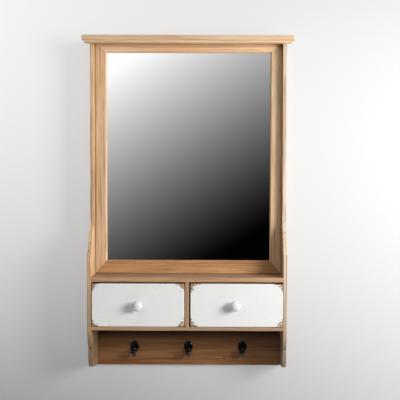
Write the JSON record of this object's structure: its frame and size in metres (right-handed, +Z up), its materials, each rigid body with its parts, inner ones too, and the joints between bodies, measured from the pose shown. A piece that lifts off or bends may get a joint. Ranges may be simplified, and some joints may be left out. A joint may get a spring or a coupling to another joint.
{
  "type": "wall mirror with shelf and drawers",
  "caption": "Wall-hung mirror in a wooden case with a moulded crown, shaped side panels, a narrow shelf, small knobbed drawers and an open bay with coat hooks.",
  "frame": {"origin": "on the wall, midway between the round entries of the two keyhole plates", "axes": "+X to the viewer's right, -Y out of the wall towards the viewer, +Y into the wall, +Z up"},
  "size_m": [0.502, 0.1305, 0.803],
  "materials": {
    "fir": "waxed light brown fir with brushed grain",
    "plywood": "thin bare plywood",
    "hardboard": "dark brown hardboard",
    "white_paint": "worn white paint with bare wood at the edges",
    "mirror_glass": "clear silvered glass",
    "white_ceramic": "glossy white glaze",
    "black_iron": "satin black",
    "steel": "zinc-plated steel"
  },
  "bodies": {
    "case": {"side_panel_left": "fir", "side_panel_right": "fir", "top_board": "fir", "crown_board": "fir", "crown_moulding_front": "fir", "crown_moulding_left": "fir", "crown_moulding_right": "fir", "frame_top_rail": "fir", "frame_bottom_rail": "fir", "frame_stile_left": "fir", "frame_stile_right": "fir", "mirror_glass": "mirror_glass", "mirror_backing": "hardboard", "glazing_points": "steel", "hanging_rail": "fir", "keyhole_plate_left": "steel", "keyhole_plate_right": "steel", "keyhole_screws": "steel", "shelf": "fir", "drawer_divider": "fir", "bottom_board": "fir", "back_panel": "plywood", "back_panel_pins": "steel", "hook_rail": "fir", "coat_hook_left": "black_iron", "coat_hook_middle": "black_iron", "coat_hook_right": "black_iron", "hook_screws": "black_iron", "case_screws": "steel", "crown_screws": "steel"},
    "left_drawer": {"left_drawer_front": "white_paint", "left_drawer_side_left": "fir", "left_drawer_side_right": "fir", "left_drawer_back": "fir", "left_drawer_floor": "plywood", "left_drawer_knob": "white_ceramic", "left_knob_screw": "steel"},
    "right_drawer": {"right_drawer_front": "white_paint", "right_drawer_side_left": "fir", "right_drawer_side_right": "fir", "right_drawer_back": "fir", "right_drawer_floor": "plywood", "right_drawer_knob": "white_ceramic", "right_knob_screw": "steel"}
  },
  "joints": [
    {"name": "left_drawer_slide", "type": "slide", "parent": "case", "child": "left_drawer", "axis": [0, -1, 0], "range_m": [0, 0.075]},
    {"name": "right_drawer_slide", "type": "slide", "parent": "case", "child": "right_drawer", "axis": [0, -1, 0], "range_m": [0, 0.075]}
  ]
}
